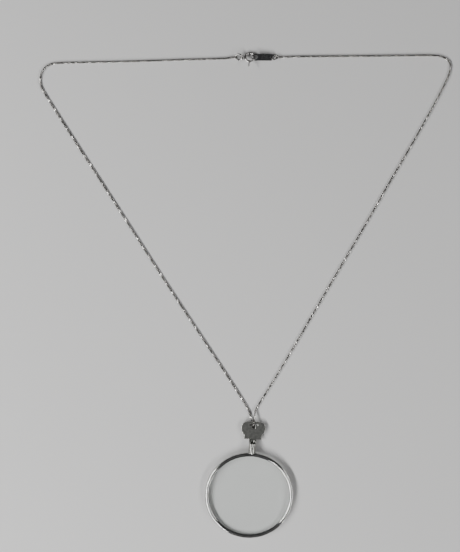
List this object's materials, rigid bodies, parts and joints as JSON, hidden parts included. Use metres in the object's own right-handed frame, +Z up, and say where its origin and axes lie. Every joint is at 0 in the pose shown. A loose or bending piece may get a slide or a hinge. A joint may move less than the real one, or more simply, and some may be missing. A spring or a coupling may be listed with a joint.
{
  "type": "magnifier pendant necklace",
  "caption": "Round magnifier pendant on a key bow and a fine twisted chain, closed with a spring ring clasp and an end plate, lying flat.",
  "frame": {"origin": "on the table, straight below the middle of the lens's mid-plane", "axes": "+Y from the lens past the key bow towards the clasp, +Z up from the table, +X to the right as seen from above"},
  "size_m": [0.1985, 0.24, 0.0042],
  "materials": {
    "rim_metal": "polished, slightly dull from wear",
    "lens_glass": "clear and polished",
    "key_metal": "old steel with fine scratches and worn bright edges",
    "chain_metal": "polished fine links",
    "clasp_metal": "darkened polish",
    "plate_metal": "dark and smooth"
  },
  "bodies": {
    "necklace": {"lens_rim": "rim_metal", "lens": "lens_glass", "key_bow": "key_metal", "chain": "chain_metal", "end_link_left": "chain_metal", "jump_ring_left": "chain_metal", "clasp_body": "clasp_metal", "end_plate": "plate_metal", "jump_ring_right": "chain_metal", "end_link_right": "chain_metal"},
    "bolt": {"clasp_bolt": "chain_metal"}
  },
  "joints": [
    {"name": "bolt_slide_round", "type": "hinge", "parent": "necklace", "child": "bolt", "pos_m": [-0.00004, 0.21544, 0.00148], "axis": [0, 0.4226, 0.9063], "range_deg": [-48, 0], "stiffness_Nm_per_rad": 0.005, "springref_deg": 22.92}
  ]
}
